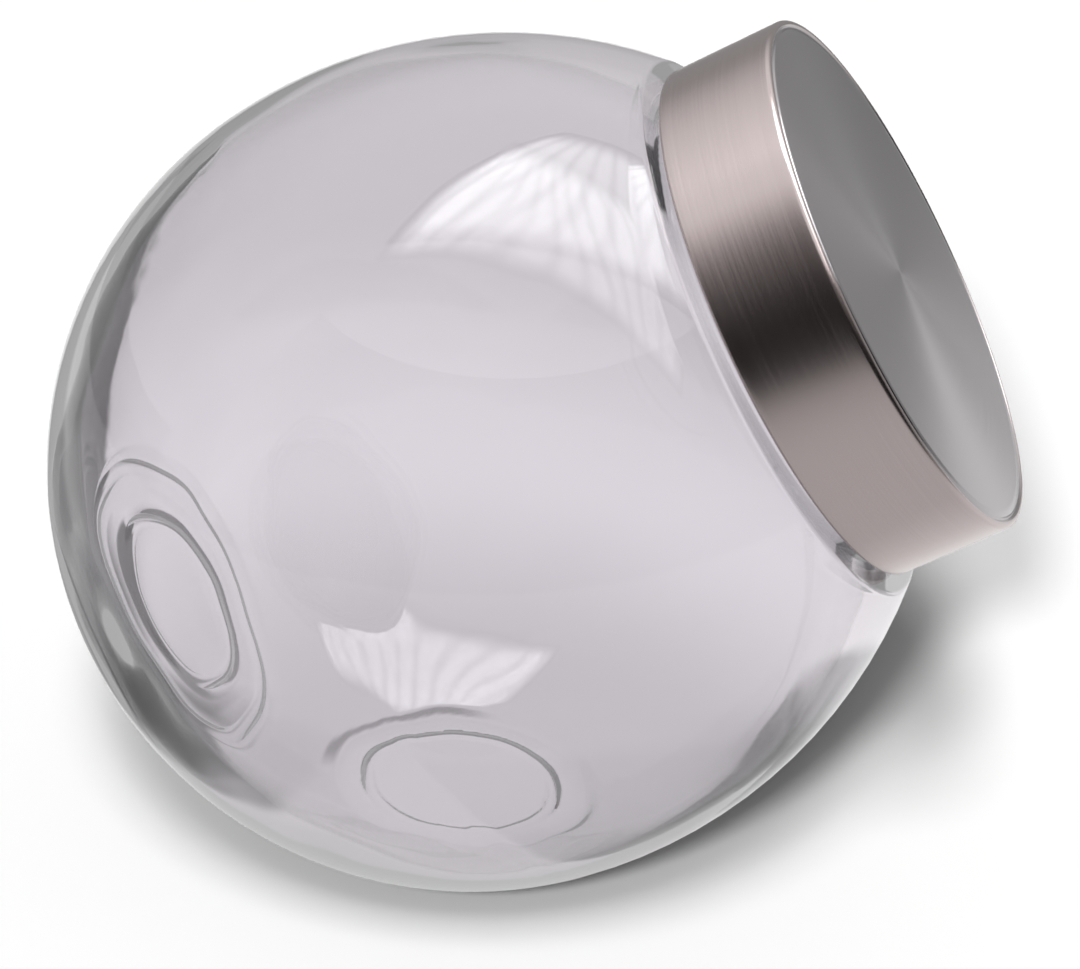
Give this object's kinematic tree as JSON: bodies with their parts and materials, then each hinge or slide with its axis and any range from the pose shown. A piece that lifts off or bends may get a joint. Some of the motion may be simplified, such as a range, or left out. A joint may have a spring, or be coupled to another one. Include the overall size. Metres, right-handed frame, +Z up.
{
  "type": "tilted glass storage jar with screw lid",
  "caption": "Ball-shaped clear glass jar that rests tilted on a flat, with a flat brushed-steel screw lid over a moulded insert and seal.",
  "frame": {"origin": "on the ground, under the middle of the jar's bounding box", "axes": "+Z up as the jar rests tilted on its foot; +X towards the side that the mouth faces; +Y across; the mouth axis lies in the XZ plane, 32.5 degrees above +X"},
  "size_m": [0.0964, 0.084, 0.0874],
  "materials": {
    "clear_glass": "clear pressed and blown glass with a faint grey tone and slightly uneven walls",
    "brushed_steel": "fine brushing round the band, spun brushing on the top",
    "insert_plastic": "satin moulded plastic",
    "seal_foam": "soft matt foamed liner"
  },
  "bodies": {
    "jar": {"jar_body": "clear_glass"},
    "seal": {"seal_disc": "seal_foam"},
    "lid": {"lid_shell": "brushed_steel", "lid_insert": "insert_plastic"}
  },
  "joints": [
    {"name": "lid_rise", "type": "slide", "parent": "jar", "child": "seal", "axis": [0.8434, 0, 0.5373], "range_m": [0, 0.02]},
    {"name": "lid_turn", "type": "hinge", "parent": "seal", "child": "lid", "pos_m": [-0.00617, 0, 0.0395], "axis": [0.8434, 0, 0.5373], "range_deg": [0, 1800]}
  ],
  "couplings": [
    {"joint": "lid_rise", "follows": "lid_turn", "m_per_rad": 0.00063662}
  ]
}
